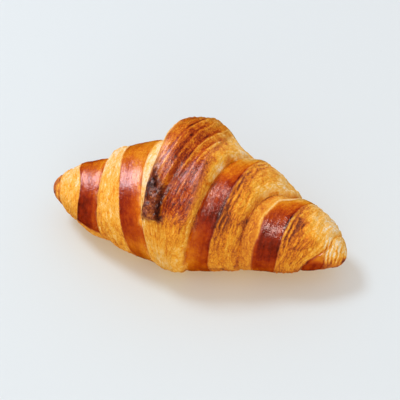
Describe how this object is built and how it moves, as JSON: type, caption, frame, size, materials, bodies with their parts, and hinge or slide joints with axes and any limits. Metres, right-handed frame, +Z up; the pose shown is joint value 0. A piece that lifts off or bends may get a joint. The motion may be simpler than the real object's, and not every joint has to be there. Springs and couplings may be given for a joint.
{
  "type": "croissant",
  "caption": "Straight rolled butter croissant with stepped, glazed turns, tapering tips and a flat base to rest on.",
  "frame": {"origin": "middle of the footprint, on the surface that the croissant rests on", "axes": "+X from the left tip to the right tip, along the rolling axis; +Z up; -Y is the side where the last fold ends"},
  "size_m": [0.15, 0.0774, 0.068],
  "materials": {
    "baked_crust": "egg-washed laminated pastry: glossy red-brown skin on the turns, dry golden flaky cut edges between them"
  },
  "bodies": {
    "root": {"croissant": "baked_crust"}
  },
  "joints": []
}
